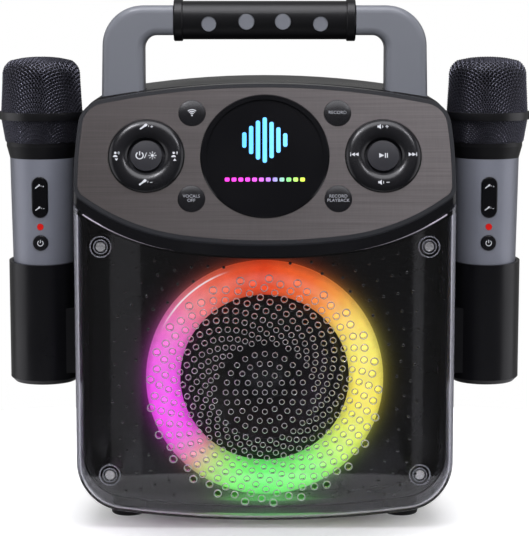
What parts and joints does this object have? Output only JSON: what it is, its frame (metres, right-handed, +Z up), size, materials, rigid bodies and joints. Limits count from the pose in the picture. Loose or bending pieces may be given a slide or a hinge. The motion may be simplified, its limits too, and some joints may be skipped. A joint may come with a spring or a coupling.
{
  "type": "portable karaoke speaker",
  "caption": "Karaoke speaker with a smoked perforated front, lit speaker ring, tilted control panel, carrying handle and hand microphones in side holders.",
  "frame": {"origin": "middle of the footprint, on the floor under the feet", "axes": "+Z up, the front with the speaker and the control panel faces -Y, +X to the viewer's right"},
  "size_m": [0.3498, 0.18, 0.3349],
  "materials": {
    "black_shell": "satin, fine texture",
    "gloss_black": "gloss",
    "smoked_clear": "clear smoked plastic, gloss",
    "diffuser": "translucent, lit in changing colours",
    "circuit": "circuit board",
    "basket_steel": "satin",
    "ferrite": "matte",
    "roll_rubber": "matte",
    "cone_paper": "matte",
    "brushed_plate": "brushed, dark",
    "display_glass": "gloss",
    "key_black": "satin gloss",
    "handle_grey": "satin grey",
    "grip_rubber": "matte",
    "barrel_grey": "satin metallic grey",
    "grille_wire": "woven wire, black",
    "foot_rubber": "matte",
    "screw_steel": "dark zinc",
    "cell_wrap": "shrink wrap",
    "lamp_red": "clear red"
  },
  "bodies": {
    "body": {"cabinet": "black_shell", "rear_cover": "black_shell", "rear_screws": "screw_steel", "speaker_baffle": "black_shell", "front_cover": "smoked_clear", "cover_screws": "screw_steel", "light_ring": "diffuser", "led_board": "circuit", "woofer_basket": "basket_steel", "woofer_surround": "roll_rubber", "woofer_cone": "cone_paper", "woofer_magnet": "ferrite", "woofer_screws": "screw_steel", "control_bezel": "gloss_black", "control_plate": "brushed_plate", "display_trim": "gloss_black", "display_lens": "display_glass", "key_board": "circuit", "handle_front": "handle_grey", "handle_rear": "handle_grey", "handle_grip": "grip_rubber", "handle_screws": "screw_steel", "left_mic_holder": "black_shell", "right_mic_holder": "black_shell", "feet": "foot_rubber", "main_board": "circuit", "battery_pack": "cell_wrap", "socket_plate": "black_shell", "aux_socket": "gloss_black", "charge_socket": "screw_steel"},
    "power_button": {"power_button": "key_black"},
    "play_button": {"play_button": "key_black"},
    "wireless_button": {"wireless_button": "key_black"},
    "record_button": {"record_button": "key_black"},
    "vocals_button": {"vocals_button": "key_black"},
    "playback_button": {"playback_button": "key_black"},
    "left_ring_pivot": {"left_ring_pivot": "grip_rubber"},
    "left_ring": {"left_ring": "key_black"},
    "right_ring_pivot": {"right_ring_pivot": "grip_rubber"},
    "right_ring": {"right_ring": "key_black"},
    "left_mic": {"left_mic_barrel": "barrel_grey", "left_mic_cell": "cell_wrap", "left_mic_collar": "key_black", "left_mic_grille": "grille_wire", "left_mic_ring": "key_black", "left_mic_capsule": "screw_steel", "left_mic_lamp": "lamp_red"},
    "left_mic_rocker": {"left_mic_rocker": "key_black"},
    "left_mic_switch": {"left_mic_switch": "key_black"},
    "right_mic": {"right_mic_barrel": "barrel_grey", "right_mic_cell": "cell_wrap", "right_mic_collar": "key_black", "right_mic_grille": "grille_wire", "right_mic_ring": "key_black", "right_mic_capsule": "screw_steel", "right_mic_lamp": "lamp_red"},
    "right_mic_rocker": {"right_mic_rocker": "key_black"},
    "right_mic_switch": {"right_mic_switch": "key_black"}
  },
  "joints": [
    {"name": "power_button_press", "type": "slide", "parent": "body", "child": "power_button", "axis": [0, 0.9272, -0.3746], "range_m": [0, 0.0006], "stiffness_N_per_m": 900},
    {"name": "play_button_press", "type": "slide", "parent": "body", "child": "play_button", "axis": [0, 0.9272, -0.3746], "range_m": [0, 0.0006], "stiffness_N_per_m": 900},
    {"name": "wireless_button_press", "type": "slide", "parent": "body", "child": "wireless_button", "axis": [0, 0.9272, -0.3746], "range_m": [0, 0.0006], "stiffness_N_per_m": 900},
    {"name": "record_button_press", "type": "slide", "parent": "body", "child": "record_button", "axis": [0, 0.9272, -0.3746], "range_m": [0, 0.0006], "stiffness_N_per_m": 900},
    {"name": "vocals_button_press", "type": "slide", "parent": "body", "child": "vocals_button", "axis": [0, 0.9272, -0.3746], "range_m": [0, 0.0006], "stiffness_N_per_m": 900},
    {"name": "playback_button_press", "type": "slide", "parent": "body", "child": "playback_button", "axis": [0, 0.9272, -0.3746], "range_m": [0, 0.0006], "stiffness_N_per_m": 900},
    {"name": "left_ring_side_rock", "type": "hinge", "parent": "body", "child": "left_ring_pivot", "pos_m": [-0.0746, -0.06434, 0.23585], "axis": [0, 0.3746, 0.9272], "range_deg": [-1.2, 1.2], "stiffness_Nm_per_rad": 0.6},
    {"name": "left_ring_fore_rock", "type": "hinge", "parent": "left_ring_pivot", "child": "left_ring", "pos_m": [-0.0746, -0.06434, 0.23585], "axis": [1, 0, 0], "range_deg": [-1.2, 1.2], "stiffness_Nm_per_rad": 0.6},
    {"name": "right_ring_side_rock", "type": "hinge", "parent": "body", "child": "right_ring_pivot", "pos_m": [0.0746, -0.06434, 0.23585], "axis": [0, 0.3746, 0.9272], "range_deg": [-1.2, 1.2], "stiffness_Nm_per_rad": 0.6},
    {"name": "right_ring_fore_rock", "type": "hinge", "parent": "right_ring_pivot", "child": "right_ring", "pos_m": [0.0746, -0.06434, 0.23585], "axis": [1, 0, 0], "range_deg": [-1.2, 1.2], "stiffness_Nm_per_rad": 0.6},
    {"name": "left_mic_lift", "type": "slide", "parent": "body", "child": "left_mic", "axis": [0, 0, 1], "range_m": [0, 0.0814]},
    {"name": "left_mic_rocker_rock", "type": "hinge", "parent": "left_mic", "child": "left_mic_rocker", "pos_m": [-0.1464, -0.0246, 0.207], "axis": [1, 0, 0], "range_deg": [-2, 2], "stiffness_Nm_per_rad": 0.3},
    {"name": "left_mic_switch_press", "type": "slide", "parent": "left_mic", "child": "left_mic_switch", "axis": [0, 1, 0], "range_m": [0, 0.0005], "stiffness_N_per_m": 600},
    {"name": "right_mic_lift", "type": "slide", "parent": "body", "child": "right_mic", "axis": [0, 0, 1], "range_m": [0, 0.0814]},
    {"name": "right_mic_rocker_rock", "type": "hinge", "parent": "right_mic", "child": "right_mic_rocker", "pos_m": [0.1464, -0.0246, 0.207], "axis": [1, 0, 0], "range_deg": [-2, 2], "stiffness_Nm_per_rad": 0.3},
    {"name": "right_mic_switch_press", "type": "slide", "parent": "right_mic", "child": "right_mic_switch", "axis": [0, 1, 0], "range_m": [0, 0.0005], "stiffness_N_per_m": 600}
  ]
}
